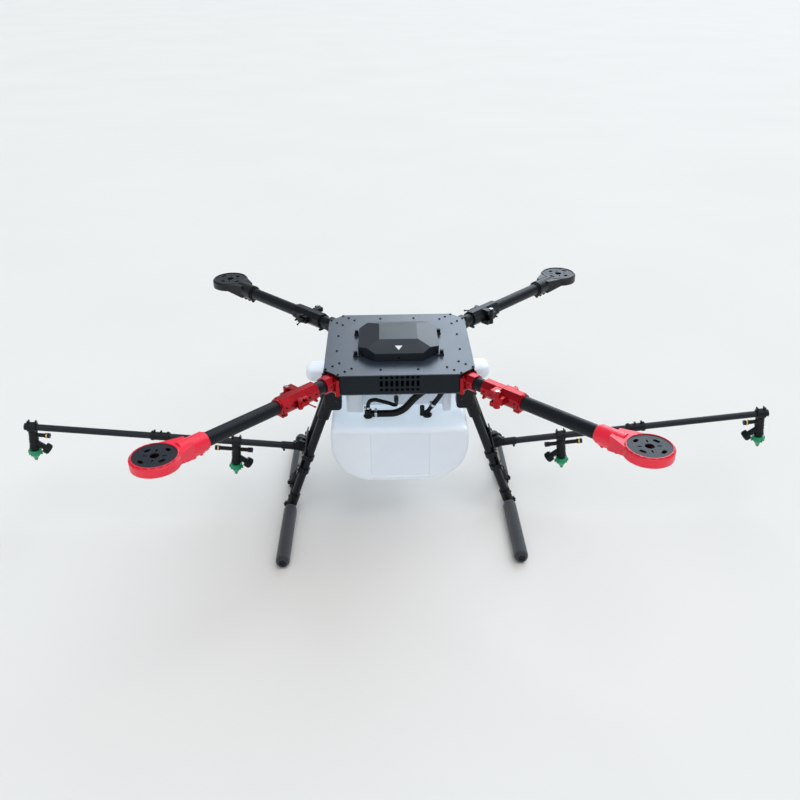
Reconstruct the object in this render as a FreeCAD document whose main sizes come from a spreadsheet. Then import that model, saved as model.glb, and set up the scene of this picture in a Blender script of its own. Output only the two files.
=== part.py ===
"""Folding four-arm agricultural spray drone.

The origin is on the ground under the middle of the body. +Z is up and the drone faces -Y.
Each arm is drawn in its own frame: X runs out along the arm, Y to its left, Z up, and
the zero is where the arm's axis meets the middle of the body.
"""
import FreeCAD, Part
import Sketcher
import math
import os
import re

from FreeCAD import Placement, Rotation, Vector

DIMS = {
    # body
    "plate_top": 436, "plate_half": 166, "plate_chamfer": 33, "sheet": 2, "body_height": 48,
    "screw_radius": 2.6, "screw_height": 1.4, "screw_pitch": 20.35, "screw_gauge": 39.1,
    "screw_centre": 188, "side_screw_x": 140.4, "side_screw_y": 41,
    "vent_pitch": 11.4, "vent_width": 6.4, "vent_short": 6, "vent_tall": 14,
    # cover
    "cover_x": 91, "cover_y": 88, "cover_shift": 11, "cover_wall_height": 19, "cover_height": 34,
    "cover_top_x": 43.5, "cover_top_y": 44, "cover_skin": 2, "cover_corner": 37,
    "cover_gap": 0.3,
    "knob_x": 97, "knob_y": 57.5, "knob_radius": 4.4, "knob_height": 8, "knob_stud": 1.9,
    # arm
    "arm_drop": 24, "tube_radius": 15, "tube_wall": 2, "fit_gap": 0.05, "body_gap": 0.35,
    "socket_side": 36, "block_side": 38, "block_chamfer": 11, "root_inner": 162,
    "root_flange": 206, "socket_start": 211, "socket_end": 237, "base_start": 262,
    "split": 313, "head_end": 360, "pin_offset": 27, "pin_radius": 3, "knuckle_radius": 7.4,
    "knuckle_half": 8, "latch_pin_x": 321, "latch_pin_y": 27, "sleeve_start": 545,
    "sleeve_end": 600, "sleeve_radius": 20, "motor_reach": 650.5, "mount_radius": 48,
    "mount_top": 17.4, "mount_height": 20.5, "neck_side": 19, "neck_end_side": 35,
    "motor_plate_radius": 42.5, "motor_plate_thick": 3, "motor_plate_drop": 1.5,
    "motor_bore": 9, "slot_circle": 18.5, "slot_length": 9, "slot_width": 3.2,
    "window_length": 14, "window_width": 8, "window_reach": 29.5, "window_aside": 25,
    # landing gear
    "skid_x": 273, "skid_z": 16, "leg_y": 48, "leg_lean": 20.2, "leg_length": 392,
    "leg_radius": 10, "leg_wall": 1.5, "skid_radius": 8, "skid_half": 272, "foam_radius": 16,
    "foam_start": 61, "foam_end": 276, "tee_radius": 12, "mount_inner_x": 134,
    # booms
    "pin_along": 152.3, "pin_out": 26.2, "boom_rise": 6.1, "boom_radius": 8, "boom_wall": 1,
    "boom_below": 10, "boom_start": 22, "boom_joint": 341, "boom_end": 662,
    "root_sleeve_radius": 9.6, "root_sleeve_end": 45, "nozzle_inner": 156, "nozzle_outer": 648,
    "nozzle_radius": 10.8, "spigot_radius": 9, "cap_height": 31, "cap_tip": 94, "belly_round": 95, "wing_round": 18,
    # tank
    "tank_half": 160, "tank_front": 121, "tank_back": 105, "tank_low": 128, "tank_high": 271,
    "tank_wall": 3, "neck_half": 125, "neck_front": 35, "neck_top": 385, "wing_half": 228,
    "wing_near": 75, "wing_far": 133, "wing_low": 292, "wing_high": 333, "tower_half": 72,
    "tower_back": 270, "tower_low": 206, "tower_high": 341, "filler_y": 219,
    "filler_radius": 40, "filler_top": 362,
    # hoses
    "suction_radius": 8.5, "return_radius": 6, "loop_radius": 4.6,
}

doc = FreeCAD.newDocument("spray_drone")
sheet = doc.addObject("Spreadsheet::Sheet", "dims")
for row, (alias, size) in enumerate(DIMS.items(), 1):
    sheet.set(f"A{row}", alias)
    sheet.set(f"B{row}", str(size))
    sheet.setAlias(f"B{row}", alias)
doc.recompute()

D = {alias: float(size) for alias, size in DIMS.items()}
ARM_Z = D["plate_top"] - D["arm_drop"]
CORNERS = {"front_right": -45, "rear_right": 45, "rear_left": 135, "front_left": 225}
SIDES = {"right": 0, "left": 180}
UP = Vector(0, 0, 1)
ALONG = {
    "x": Rotation(Vector(0, 1, 0), 90),
    "y": Rotation(Vector(1, 0, 0), -90),
    "z": Rotation(),
}
PARTS = {}
WORD = re.compile(r"[a-z]+(_[a-z]+)+|[a-z]{4,}")


def bind(feature, **formulas):
    """Bind properties to formulas of the sheet's cells."""
    for name, formula in formulas.items():
        text = WORD.sub(lambda m: "dims." + m[0] if m[0] in DIMS else m[0], str(formula))
        feature.setExpression(name.replace("__", "."), text)


def put(feature, x=0, y=0, z=0, turn=Rotation()):
    """Place a feature, binding each coordinate that is a formula."""
    feature.Placement = Placement(Vector(0, 0, 0), turn)
    bind(feature, Placement__Base__x=x, Placement__Base__y=y, Placement__Base__z=z)
    return feature


def box(name, x, y, z):
    """A box between the two limits given for each axis."""
    feature = doc.addObject("Part::Box", name)
    bind(feature, Length=f"({x[1]}) - ({x[0]})", Width=f"({y[1]}) - ({y[0]})",
         Height=f"({z[1]}) - ({z[0]})")
    return put(feature, x[0], y[0], z[0])


def rod(name, radius, length, x=0, y=0, z=0, along="z"):
    """A cylinder that starts at a point and runs along an axis."""
    feature = doc.addObject("Part::Cylinder", name)
    bind(feature, Radius=radius, Height=length)
    return put(feature, x, y, z, ALONG[along])


def cone(name, low, high, length, x=0, y=0, z=0, along="z"):
    """A cone from one radius to another."""
    feature = doc.addObject("Part::Cone", name)
    bind(feature, Radius1=low, Radius2=high, Height=length)
    return put(feature, x, y, z, ALONG[along])


def sized(kind, name, placement, **sizes):
    """A primitive whose sizes are formulas and whose placement is given outright."""
    feature = doc.addObject(kind, name)
    bind(feature, **sizes)
    feature.Placement = placement
    return feature


def fuse(name, pieces):
    feature = doc.addObject("Part::MultiFuse", name)
    feature.Shapes = pieces
    return feature


def cut(name, base, tools):
    feature = doc.addObject("Part::Cut", name)
    feature.Base = base
    feature.Tool = tools[0] if len(tools) == 1 else fuse(name + "_tools", tools)
    return feature


def common(name, first, second):
    feature = doc.addObject("Part::Common", name)
    feature.Base = first
    feature.Tool = second
    return feature


def tube(name, radius, bore, length, x=0, y=0, z=0, along="z"):
    """A round tube, its bore cut right through."""
    outer = rod(name + "_outer", radius, length, x, y, z, along)
    inner = rod(name + "_bore", bore, length, x, y, z, along)
    return cut(name, outer, [inner])


def part(label, feature, placement=None):
    """Name a finished sub-part and put it in its place."""
    if placement is not None:
        feature.Placement = placement
    feature.Label = label
    PARTS[label] = feature
    return feature


def group(label, features):
    """Identical loose pieces that share one name."""
    feature = doc.addObject("Part::Compound", label)
    feature.Links = features
    return part(label, feature)


def placed(feature, placement):
    feature.Placement = placement
    return feature


def arm_frame(angle):
    return Placement(Vector(0, 0, ARM_Z), Rotation(UP, angle))


def side_frame(angle):
    """The leg plane of one side: X out of the plane, Y along the skid, Z up the leg."""
    lean = Placement(Vector(D["skid_x"], 0, D["skid_z"]),
                     Rotation(Vector(0, 1, 0), -D["leg_lean"]))
    return Placement(Vector(0, 0, 0), Rotation(UP, angle)) * lean


def boom_frame(angle):
    """The boom of one side: X out along the boom from the hinge pin, Z up."""
    lean = math.radians(D["leg_lean"])
    pin_x = D["skid_x"] - D["pin_along"] * math.sin(lean) + D["pin_out"] * math.cos(lean)
    pin_z = D["skid_z"] + D["pin_along"] * math.cos(lean) + D["pin_out"] * math.sin(lean)
    rise = Placement(Vector(pin_x, 0, pin_z), Rotation(Vector(0, 1, 0), -D["boom_rise"]))
    return Placement(Vector(0, 0, 0), Rotation(UP, angle)) * rise


# ---- PartDesign helpers -------------------------------------------------------------

def new_sketch(body, role):
    """A sketch on one of the body's own origin planes."""
    plane = next(o for o in body.Origin.OriginFeatures if o.Role == role)
    sketch = body.newObject("Sketcher::SketchObject", body.Name + "_sketch")
    sketch.AttachmentSupport = [(plane, "")]
    sketch.MapMode = "FlatFace"
    return sketch


def dimension(sketch, kind, place, formula):
    """A driving dimension bound to the sheet."""
    index = sketch.addConstraint(Sketcher.Constraint(kind, *place, 10.0))
    bind(sketch, **{f"Constraints[{index}]": formula})


def block(name, wide, deep, tall, rounds=(), chamfers=()):
    """A padded rectangle centred on Z, with chosen edges rounded or chamfered."""
    body = doc.addObject("PartDesign::Body", name)
    sketch = new_sketch(body, "XY_Plane")
    corners = [Vector(-5, -5, 0), Vector(5, -5, 0), Vector(5, 5, 0), Vector(-5, 5, 0)]
    for i in range(4):
        sketch.addGeometry(Part.LineSegment(corners[i], corners[(i + 1) % 4]))
    for i in range(4):
        sketch.addConstraint(Sketcher.Constraint("Coincident", i, 2, (i + 1) % 4, 1))
        level = "Horizontal" if i % 2 == 0 else "Vertical"
        sketch.addConstraint(Sketcher.Constraint(level, i))
    sketch.addConstraint(Sketcher.Constraint("Symmetric", 0, 1, 2, 1, -1, 1))
    dimension(sketch, "DistanceX", (0, 1, 0, 2), wide)
    dimension(sketch, "DistanceY", (1, 1, 1, 2), deep)
    pad = body.newObject("PartDesign::Pad", name + "_pad")
    pad.Profile = sketch
    bind(pad, Length=tall)
    doc.recompute()
    last = pad
    for kind, size_name, jobs in (("Fillet", "Radius", rounds), ("Chamfer", "Size", chamfers)):
        for number, (wanted, size) in enumerate(jobs):
            edges = [f"Edge{i}" for i, edge in enumerate(last.Shape.Edges, 1) if wanted(edge)]
            dressing = body.newObject(f"PartDesign::{kind}", f"{name}_{kind}{number}".lower())
            dressing.Base = (last, edges)
            bind(dressing, **{size_name: size})
            doc.recompute()
            last = dressing
    return body


def turned(name, profile):
    """A turned piece: the closed profile of (radius, height) points goes round Z."""
    body = doc.addObject("PartDesign::Body", name)
    sketch = new_sketch(body, "XZ_Plane")
    count = len(profile)
    start = [Vector(10 + 3 * math.cos(2 * math.pi * i / count),
                    10 + 3 * math.sin(2 * math.pi * i / count), 0) for i in range(count)]
    for i in range(count):
        sketch.addGeometry(Part.LineSegment(start[i], start[(i + 1) % count]))
    for i in range(count):
        sketch.addConstraint(Sketcher.Constraint("Coincident", i, 2, (i + 1) % count, 1))
    for i, (radius, height) in enumerate(profile):
        dimension(sketch, "DistanceX", (-1, 1, i, 1), radius)
        dimension(sketch, "DistanceY", (-1, 1, i, 1), height)
    spin = body.newObject("PartDesign::Revolution", name + "_spin")
    spin.Profile = sketch
    spin.ReferenceAxis = (sketch, ["V_Axis"])
    spin.Angle = 360
    return body


def upright(edge):
    """The edge runs along Z."""
    ends = [v.Point for v in edge.Vertexes]
    return len(ends) == 2 and abs((ends[0] - ends[1]).normalize().z) > 0.99


def level_at(height):
    """The edge lies flat at this height."""
    def test(edge):
        return all(abs(v.Point.z - height) < 0.01 for v in edge.Vertexes)
    return test


def front_to_back_at(height):
    """The edge runs along Y at this height."""
    def test(edge):
        return level_at(height)(edge) and abs(edge.BoundBox.YLength) > 1 > edge.BoundBox.XLength
    return test


# ---- body ---------------------------------------------------------------------------

def corner_screw_places():
    """The six screws in the plate's corner, in the arm's frame."""
    for step in (-1, 0, 1):
        for side in (-0.5, 0.5):
            yield (f"screw_centre + {step} * screw_pitch", f"{side} * screw_gauge")


def plate(label, height, holes):
    base = block(label + "_sheet", "2 * plate_half", "2 * plate_half", "sheet",
                 chamfers=[(upright, "plate_chamfer")])
    put(base, 0, 0, height)
    return part(label, cut(label, base, holes) if holes else base)


def stud_holes():
    holes = []
    for x in (-1, 1):
        for y in (-1, 1):
            holes.append(rod("stud_hole", "knob_stud + fit_gap", "3 * sheet",
                             f"{x} * knob_x", f"{y} * knob_y - cover_shift",
                             "plate_top - 2 * sheet"))
    return holes


def cable_holes():
    return [rod("controller_cable_hole", 14, "3 * sheet", 0, "40 - cover_shift",
                "plate_top - 2 * sheet")]


def hose_holes():
    return [rod("suction_hose_hole", "suction_radius + 1.5", "3 * sheet", 84, -60,
                "plate_top - body_height - sheet"),
            rod("return_hose_hole", "return_radius + 1.5", "3 * sheet", 112, -60,
                "plate_top - body_height - sheet")]


plate("top_plate", "plate_top - sheet", stud_holes() + cable_holes())
plate("bottom_plate", "plate_top - body_height", hose_holes())


def screw(name, x, y):
    """A button head with a hex socket."""
    head = rod(name + "_head", "screw_radius", "screw_height", x, y, "plate_top")
    socket = doc.addObject("Part::Prism", name + "_socket")
    bind(socket, Circumradius="screw_radius * 0.55", Height="screw_height")
    put(socket, x, y, "plate_top + screw_height * 0.35")
    return cut(name, head, [socket])


def plate_screws():
    screws = []
    for angle in CORNERS.values():
        along_x = round(math.cos(math.radians(angle)), 4)
        along_y = round(math.sin(math.radians(angle)), 4)
        for out, left in corner_screw_places():
            screws.append(screw("corner_screw", f"({out}) * {along_x} - ({left}) * {along_y}",
                                f"({out}) * {along_y} + ({left}) * {along_x}"))
    for x in (-1, 1):
        for y in (-1, 1):
            screws.append(screw("side_screw", f"{x} * side_screw_x", f"{y} * side_screw_y"))
            screws.append(screw("edge_screw", f"{x} * side_screw_y", f"{y} * side_screw_x"))
    return screws


def cover_studs():
    """Four studs pressed through the top plate for the cover's thumb nuts."""
    studs = []
    for x in (-1, 1):
        for y in (-1, 1):
            across = f"{x} * knob_x"
            along = f"{y} * knob_y - cover_shift"
            studs.append(fuse("cover_stud", [
                rod("stud_shaft", "knob_stud", "sheet + 9", across, along, "plate_top - sheet"),
                rod("stud_head", 3.4, 1, across, along, "plate_top - sheet - 1")]))
    return studs


group("plate_screws", plate_screws() + cover_studs())


def wall_panels():
    """Four walls with the vent grid in the front one, and four pierced corner panels."""
    half = "plate_half - plate_chamfer - 3.5"
    tall = ("plate_top - body_height + sheet", "plate_top - sheet")
    near = "plate_half - 0.5 - sheet"
    far = "plate_half - 0.5"
    slots = []
    for column in range(8):
        centre = f"{column - 3.5} * vent_pitch"
        for middle, size in ((-6.6, "vent_short"), (-21.5, "vent_tall"), (-36.4, "vent_short")):
            slots.append(box("vent", (f"{centre} - vent_width / 2", f"{centre} + vent_width / 2"),
                             ("-plate_half - 1", "-plate_half + 4"),
                             (f"plate_top + {middle} - {size} / 2",
                              f"plate_top + {middle} + {size} / 2")))
    front = box("front_sheet", (f"-({half})", half), (f"-({far})", f"-({near})"), tall)
    panels = [cut("front_panel", front, slots),
              box("rear_panel", (f"-({half})", half), (near, far), tall),
              box("right_panel", (near, far), (f"-({half})", half), tall),
              box("left_panel", (f"-({far})", f"-({near})"), (f"-({half})", half), tall)]
    room = "body_height / 2 - sheet"
    for angle in CORNERS.values():
        corner = box("corner_sheet", (203, 205), (-23, 23), (f"-({room})", room))
        opening = box("corner_opening", (200, 208), (-16.3, 16.3), (-16.3, 16.3))
        panels.append(placed(cut("corner_panel", corner, [opening]), arm_frame(angle)))
    return panels


group("wall_panels", wall_panels())


def power_board():
    """Power board on the bottom plate: sheet, cable lugs and a capacitor row."""
    low = "plate_top - body_height + sheet + 6"
    pieces = [box("board", (-62, 62), (-48, 48), (low, f"{low} + 2"))]
    for x in (-52, -18, 18, 52):
        for y in (-40, 40):
            pieces.append(box("lug", (x - 7, x + 7), (y - 6, y + 6), (f"{low} + 2", f"{low} + 8")))
    for x in (-52, 52):
        for y in (-14, 14):
            pieces.append(rod("standoff", 3, 6, x, y, f"{low} - 6"))
    for x in (-30, -10, 10, 30):
        pieces.append(rod("capacitor", 5, 16, x, 0, f"{low} + 2"))
    return fuse("power_board", pieces)


def flight_controller():
    case = block("controller_case", 62, 46, 16, rounds=[(upright, 5)])
    put(case, 0, "-cover_shift", "plate_top")
    pieces = [case]
    for x in (-20, 0, 20):
        pieces.append(box("port", (x - 6, x + 6), ("-cover_shift - 27", "-cover_shift - 22"),
                          ("plate_top + 3", "plate_top + 10")))
    return fuse("flight_controller", pieces)


def pump():
    """Diaphragm pump lying across the back of the body."""
    mid = "plate_top - body_height / 2"
    pieces = [rod("pump_motor", 18, 62, -58, 112, mid, "x"),
              box("pump_head", (4, 46), (92, 132), (f"{mid} - 20", f"{mid} + 20")),
              rod("pump_inlet", 6, 16, 25, 76, mid, "y"),
              box("pump_foot", (-40, 30), (98, 126), (f"{mid} - 22", f"{mid} - 17"))]
    return fuse("pump", pieces)


part("power_board", power_board())
part("flight_controller", flight_controller())
part("pump", pump())


# ---- cover --------------------------------------------------------------------------

def cover_form(name, inset):
    """Octagonal wall under a four-sided facet roof, shrunk by an inset."""
    wall = block(name + "_wall", f"2 * (cover_x - {inset})", f"2 * (cover_y - {inset})",
                 f"cover_height - {inset}", chamfers=[(upright, "cover_corner")])
    roof = doc.addObject("Part::Wedge", name + "_roof")
    bind(roof, Xmin=f"-cover_x + {inset}", Xmax=f"cover_x - {inset}", Ymin="cover_wall_height",
         Ymax=f"cover_height - {inset}", Zmin=f"-cover_y + {inset}", Zmax=f"cover_y - {inset}",
         X2min="-cover_top_x", X2max="cover_top_x", Z2min="-cover_top_y", Z2max="cover_top_y")
    roof.Placement = Placement(Vector(), Rotation(Vector(1, 0, 0), 90))
    skirt = box(name + "_skirt", (f"-cover_x + {inset}", f"cover_x - {inset}"),
                (f"-cover_y + {inset}", f"cover_y - {inset}"), (0, "cover_wall_height"))
    return common(name, wall, fuse(name + "_stack", [roof, skirt]))


def cover_shell():
    ears = []
    holes = []
    for x in (-1, 1):
        for y in (-1, 1):
            ear_x = f"{x} * knob_x"
            ear_y = f"{y} * knob_y"
            ears.append(rod("cover_ear", 6, 3, ear_x, ear_y, 0))
            inner, outer = ("knob_x - 13", "knob_x") if x > 0 else ("-knob_x", "-knob_x + 13")
            ears.append(box("cover_web", (inner, outer), (f"{ear_y} - 6", f"{ear_y} + 6"), (0, 3)))
            holes.append(rod("ear_hole", "knob_stud + body_gap", 5, ear_x, ear_y, -1))
    port = rod("cover_port", 2.4, 8, 0, "-cover_y - 4", 7, "y")
    hollow = cover_form("cover_inside", "cover_skin")
    pierced = cut("cover_pierced", fuse("cover_solid", [cover_form("cover_outside", 0)] + ears),
                  [hollow, port] + holes)
    return pierced


part("cover_shell", cover_shell(),
     Placement(Vector(0, -D["cover_shift"], D["plate_top"] + D["cover_gap"]), Rotation()))


def thumb_knob(label, x, y):
    """Knurled thumb nut: eight flutes and a blind bore over the stud."""
    head = rod(label + "_head", "knob_radius", "knob_height", 0, 0, "3 + body_gap")
    flutes = [rod("flute", 0.7, "knob_height", f"knob_radius * {math.cos(a):.4f}",
                  f"knob_radius * {math.sin(a):.4f}", "3 + body_gap")
              for a in (math.radians(45 * i) for i in range(8))]
    bore = rod(label + "_bore", "knob_stud + body_gap", "knob_height - 1.5", 0, 0,
               "3 + body_gap")
    seat = Vector(x, y - D["cover_shift"], D["plate_top"] + D["cover_gap"])
    return part(label, cut(label, head, flutes + [bore]), Placement(seat, Rotation()))


for side, x in (("left", -1), ("right", 1)):
    for end, y in (("front", -1), ("rear", 1)):
        thumb_knob(f"cover_knob_{end}_{side}", x * D["knob_x"], y * D["knob_y"])


# ---- arms ---------------------------------------------------------------------------

def bar(name, side, chamfer, start, end):
    """A square bar along X with its four long edges chamfered."""
    square = box(name + "_square", (start, end), (f"-{side} / 2", f"{side} / 2"),
                 (f"-{side} / 2", f"{side} / 2"))
    diamond = doc.addObject("Part::Box", name + "_diamond")
    bind(diamond, Length=f"({end}) - ({start})", Width=f"sqrt(2) * ({side} - {chamfer})",
         Height=f"sqrt(2) * ({side} - {chamfer})")
    put(diamond, start, 0, f"-({side} - {chamfer})", Rotation(Vector(1, 0, 0), 45))
    return common(name, square, diamond)


def root_bracket(name):
    """Bracket in the body's corner: inner block, flange, two pillars and a socket."""
    solid = [box(name + "_inner", ("root_inner", "root_flange"), (-16, 16), (-16, 16)),
             box(name + "_flange", ("root_flange", "socket_start"), (-22, 22), (-20, 14)),
             bar(name + "_socket", "socket_side", 10, "socket_start", "socket_end")]
    for y in (-21, 21):
        solid.append(rod(name + "_pillar", 5.4, 39, 212.6, y, -25))
    for z in (-12, 9):
        solid.append(box(name + "_rib", ("socket_start", 222), (-21, 21), (z - 2, z + 2)))
    plate_room = box(name + "_plate_room", (200, 212), (-40, 40), (-40, "0.3 - body_height / 2 + sheet"))
    hollow = [rod(name + "_bore", "tube_radius + fit_gap", 90, "root_inner - 5", 0, 0, "x"),
              box(name + "_slit", (216, 240), (-1, 1), (-22, -12)), plate_room]
    return cut(name, fuse(name + "_solid", solid), hollow)


def fold_base(name):
    """Inner fold block: bore for the stub tube, two hinge lugs and the latch catch."""
    solid = [bar(name + "_bar", "block_side", "block_chamfer", "base_start", "split - 0.3")]
    lug_top = "block_side / 2"
    for low, high in ((f"-{lug_top}", "-knuckle_half - body_gap"),
                      ("knuckle_half + body_gap", lug_top)):
        solid.append(rod(name + "_lug", "knuckle_radius", f"({high}) - ({low})", "split",
                         "-pin_offset", low))
        solid.append(box(name + "_web", ("split - 16", "split - 0.3"),
                         ("-pin_offset - 4", -10), (low, high)))
    solid.append(box(name + "_catch", ("split - 14", "split - 2"), (18, 27.5), (-9, 9)))
    solid.append(box(name + "_collar", ("base_start", "base_start + 5"), (-13, 13), (-22, -18)))
    hollow = [rod(name + "_bore", "tube_radius + fit_gap", 40, "base_start - 2", 0, 0, "x"),
              rod(name + "_pin_hole", "pin_radius", "block_side + 2", "split", "-pin_offset",
                  "-block_side / 2 - 1"),
              box(name + "_slit", ("base_start - 1", "base_start + 22"), (-1, 1), (-24, -12))]
    return cut(name, fuse(name + "_solid", solid), hollow)


def stub_tube(name):
    return tube(name, "tube_radius", "tube_radius - tube_wall", 130, 170, 0, 0, "x")


def hinge_pin(name):
    shaft = rod(name + "_shaft", "pin_radius", "block_side + 1.6", "split", "-pin_offset",
                "-block_side / 2 - 0.8")
    heads = [rod(name + "_head", 4.6, 1.8, "split", "-pin_offset", z)
             for z in ("block_side / 2", "-block_side / 2 - 1.8")]
    return fuse(name, [shaft] + heads)


def fold_head(name):
    """Outer fold block: bore for the arm tube, middle hinge lug and the latch fork."""
    start = "split + 0.3"
    solid = [bar(name + "_bar", "block_side", "block_chamfer", start, "head_end"),
             rod(name + "_lug", "knuckle_radius", "2 * knuckle_half", "split", "-pin_offset",
                 "-knuckle_half"),
             box(name + "_web", (start, "split + 16"), ("-pin_offset - 4", "-18"),
                 ("-knuckle_half", "knuckle_half")),
             box(name + "_clamp", ("head_end - 17", "head_end - 5"), (-9, 9), (-25, -18)),
             box(name + "_clamp_end", ("head_end - 3", "head_end"), (-14, 14), (-22, -18))]
    for low, high in ((-10.5, -5), (5, 10.5)):
        solid.append(box(name + "_fork", (start, "latch_pin_x + 3"), (18, "latch_pin_y"),
                         (low, high)))
        solid.append(rod(name + "_fork_end", 5.5, high - low, "latch_pin_x", "latch_pin_y - 1.5",
                         low))
    solid.append(rod(name + "_latch_pin", 2, 21, "latch_pin_x", "latch_pin_y - 1.5", -10.5))
    hollow = [rod(name + "_bore", "tube_radius + fit_gap", 60, "split + 13", 0, 0, "x"),
              rod(name + "_pin_hole", "pin_radius + fit_gap", 30, "split", "-pin_offset", -15),
              box(name + "_slit", ("head_end - 22", "head_end + 1"), (-1, 1), (-27, -12))]
    return cut(name, fuse(name + "_solid", solid), hollow)


def latch_lever(name):
    """Over-centre lever lying along the blocks, with a bent wire tail."""
    hub_y = "latch_pin_y - 1.5"
    tail = Vector(D["split"] - 4, 32, 0)
    tail_end = Vector(D["split"] - 10, 51, -4)
    solid = [rod(name + "_hub", 5, 9.3, "latch_pin_x", hub_y, -4.65),
             box(name + "_cheek", ("latch_pin_x - 5", "latch_pin_x + 3"), (hub_y, 33.5),
                 (-4.65, 4.65)),
             box(name + "_blade", ("split - 10", "latch_pin_x + 3"), (29.5, 33.5), (-4.65, 4.65)),
             sized("Part::Cylinder", name + "_wire", Placement(tail, Rotation(UP, tail_end - tail)),
                   Radius=1.5, Height=tail.distanceToPoint(tail_end))]
    tip = sized("Part::Sphere", name + "_tip", Placement(tail_end, Rotation()), Radius=2.4)
    hole = rod(name + "_hole", "2 + fit_gap", 12, "latch_pin_x", hub_y, -6)
    return cut(name, fuse(name + "_solid", solid + [tip]), [hole])


def arm_tube(name):
    return tube(name, "tube_radius", "tube_radius - tube_wall", "sleeve_end - 14 - split - 13.5",
                "split + 13.5", 0, 0, "x")


def motor_mount(name):
    """Dish for the motor plate on a sleeve that clamps the arm tube."""
    low = "mount_top - mount_height"
    seat = "mount_top - motor_plate_drop - motor_plate_thick"
    rim = cone(name + "_rim", "mount_radius", "mount_radius - 3.5", 4, "motor_reach", 0,
               "mount_top - 4")
    disc = rod(name + "_disc", "mount_radius", "mount_height - 4", "motor_reach", 0, low)
    taper = sized("Part::Wedge", name + "_taper",
                  Placement(Vector(), Rotation(Vector(0, 0, 1), -90)),
                  Xmin="-neck_side", Xmax="neck_side", X2min="-neck_end_side",
                  X2max="neck_end_side", Ymin="sleeve_end - 24", Ymax="motor_reach - 30",
                  Zmin="-17", Zmax="17", Z2min=low, Z2max="mount_top - 1")
    sleeve = rod(name + "_sleeve", "sleeve_radius", "sleeve_end - sleeve_start",
                 "sleeve_start", 0, 0, "x")
    bumps = [rod(name + "_bump", 4.4, 9, f"sleeve_start + {x}", 0, -26) for x in (8, 24, 40)]
    keel = box(name + "_keel", ("sleeve_start + 2", "sleeve_end"), (-5, 5), (-23, -14))
    solid = fuse(name + "_solid", [rim, disc, taper, sleeve, keel] + bumps)
    hollow = [rod(name + "_bore", "tube_radius + fit_gap", "sleeve_end - 14 - sleeve_start + 1",
                  "sleeve_start - 1", 0, 0, "x"),
              rod(name + "_seat", "motor_plate_radius + fit_gap", 10, "motor_reach", 0, seat),
              rod(name + "_dish", "motor_plate_radius - 6", 11, "motor_reach", 0,
                  f"{seat} - 10.5")]
    middle = Placement(Vector(D["motor_reach"], 0, D["mount_top"] - 3.6), Rotation())
    reach = D["mount_radius"] - 3.8
    for step in range(20):
        if abs(step - 10) > 1:
            turn = Placement(Vector(), Rotation(UP, 18 * step))
            hollow.append(sized("Part::Box", name + "_dash",
                                middle * turn * Placement(Vector(reach, -5, 0), Rotation()),
                                Length=2.2, Width=10, Height=6))
    return cut(name, solid, hollow)


def round_slot(name, length, width, placement):
    """A slot with round ends, lying along X about its own middle."""
    depth = "motor_plate_thick + 6"
    ends = f"({length}) / 2 - ({width}) / 2"
    pieces = [rod(name + "_end", f"({width}) / 2", depth, x, 0, -3)
              for x in (ends, f"-({ends})")]
    pieces.append(box(name + "_run", (f"-({ends})", ends),
                      (f"-({width}) / 2", f"({width}) / 2"), (-3, f"{depth} - 3")))
    return placed(fuse(name, pieces), placement)


def motor_plate(name):
    """Round plate with a centre bore, four radial motor slots and four windows."""
    low = "mount_top - motor_plate_drop - motor_plate_thick"
    middle = Placement(Vector(D["motor_reach"], 0, D["mount_top"] - D["motor_plate_drop"]
                              - D["motor_plate_thick"]), Rotation())
    disc = rod(name + "_disc", "motor_plate_radius", "motor_plate_thick", "motor_reach", 0, low)
    holes = [rod(name + "_bore", "motor_bore", 9, "motor_reach", 0, f"{low} - 3")]
    for quarter in range(4):
        away = D["window_aside"] if quarter % 2 else D["window_reach"]
        window = Placement(Vector(), Rotation(UP, 90 * quarter)) * Placement(
            Vector(away, 0, 0), Rotation(UP, 90))
        holes.append(round_slot(name + "_window", "window_length", "window_width",
                                middle * window))
        slot = Placement(Vector(), Rotation(UP, 45 + 90 * quarter)) * Placement(
            Vector(D["slot_circle"], 0, 0), Rotation())
        holes.append(round_slot(name + "_slot", "slot_length", "slot_width", middle * slot))
    return cut(name, disc, holes)


def each_corner(maker, kind, corners):
    return [placed(maker(f"{corner}_{kind}"), arm_frame(CORNERS[corner])) for corner in corners]


FRONT = ("front_right", "front_left")
REAR = ("rear_right", "rear_left")
group("front_root_brackets", each_corner(root_bracket, "root", FRONT))
group("rear_root_brackets", each_corner(root_bracket, "root", REAR))
group("front_fold_bases", each_corner(fold_base, "fold_base", FRONT))
group("rear_fold_bases", each_corner(fold_base, "fold_base", REAR))
group("stub_tubes", each_corner(stub_tube, "stub", CORNERS))
group("arm_hinge_pins", each_corner(hinge_pin, "hinge_pin", CORNERS))
ARM_PARTS = {"fold_head": fold_head, "latch_lever": latch_lever, "arm_tube": arm_tube,
             "motor_mount": motor_mount, "motor_plate": motor_plate}
for corner, angle in CORNERS.items():
    for kind, maker in ARM_PARTS.items():
        part(f"{corner}_{kind}", maker(f"{corner}_{kind}_shape"), arm_frame(angle))


# ---- landing gear -------------------------------------------------------------------

LEGS = [(side, angle, end) for side, angle in SIDES.items() for end in (-1, 1)]


def leg_tube(name, end):
    return tube(name, "leg_radius", "leg_radius - leg_wall", "leg_length - 12", 0,
                f"{end} * leg_y", 12)


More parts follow.
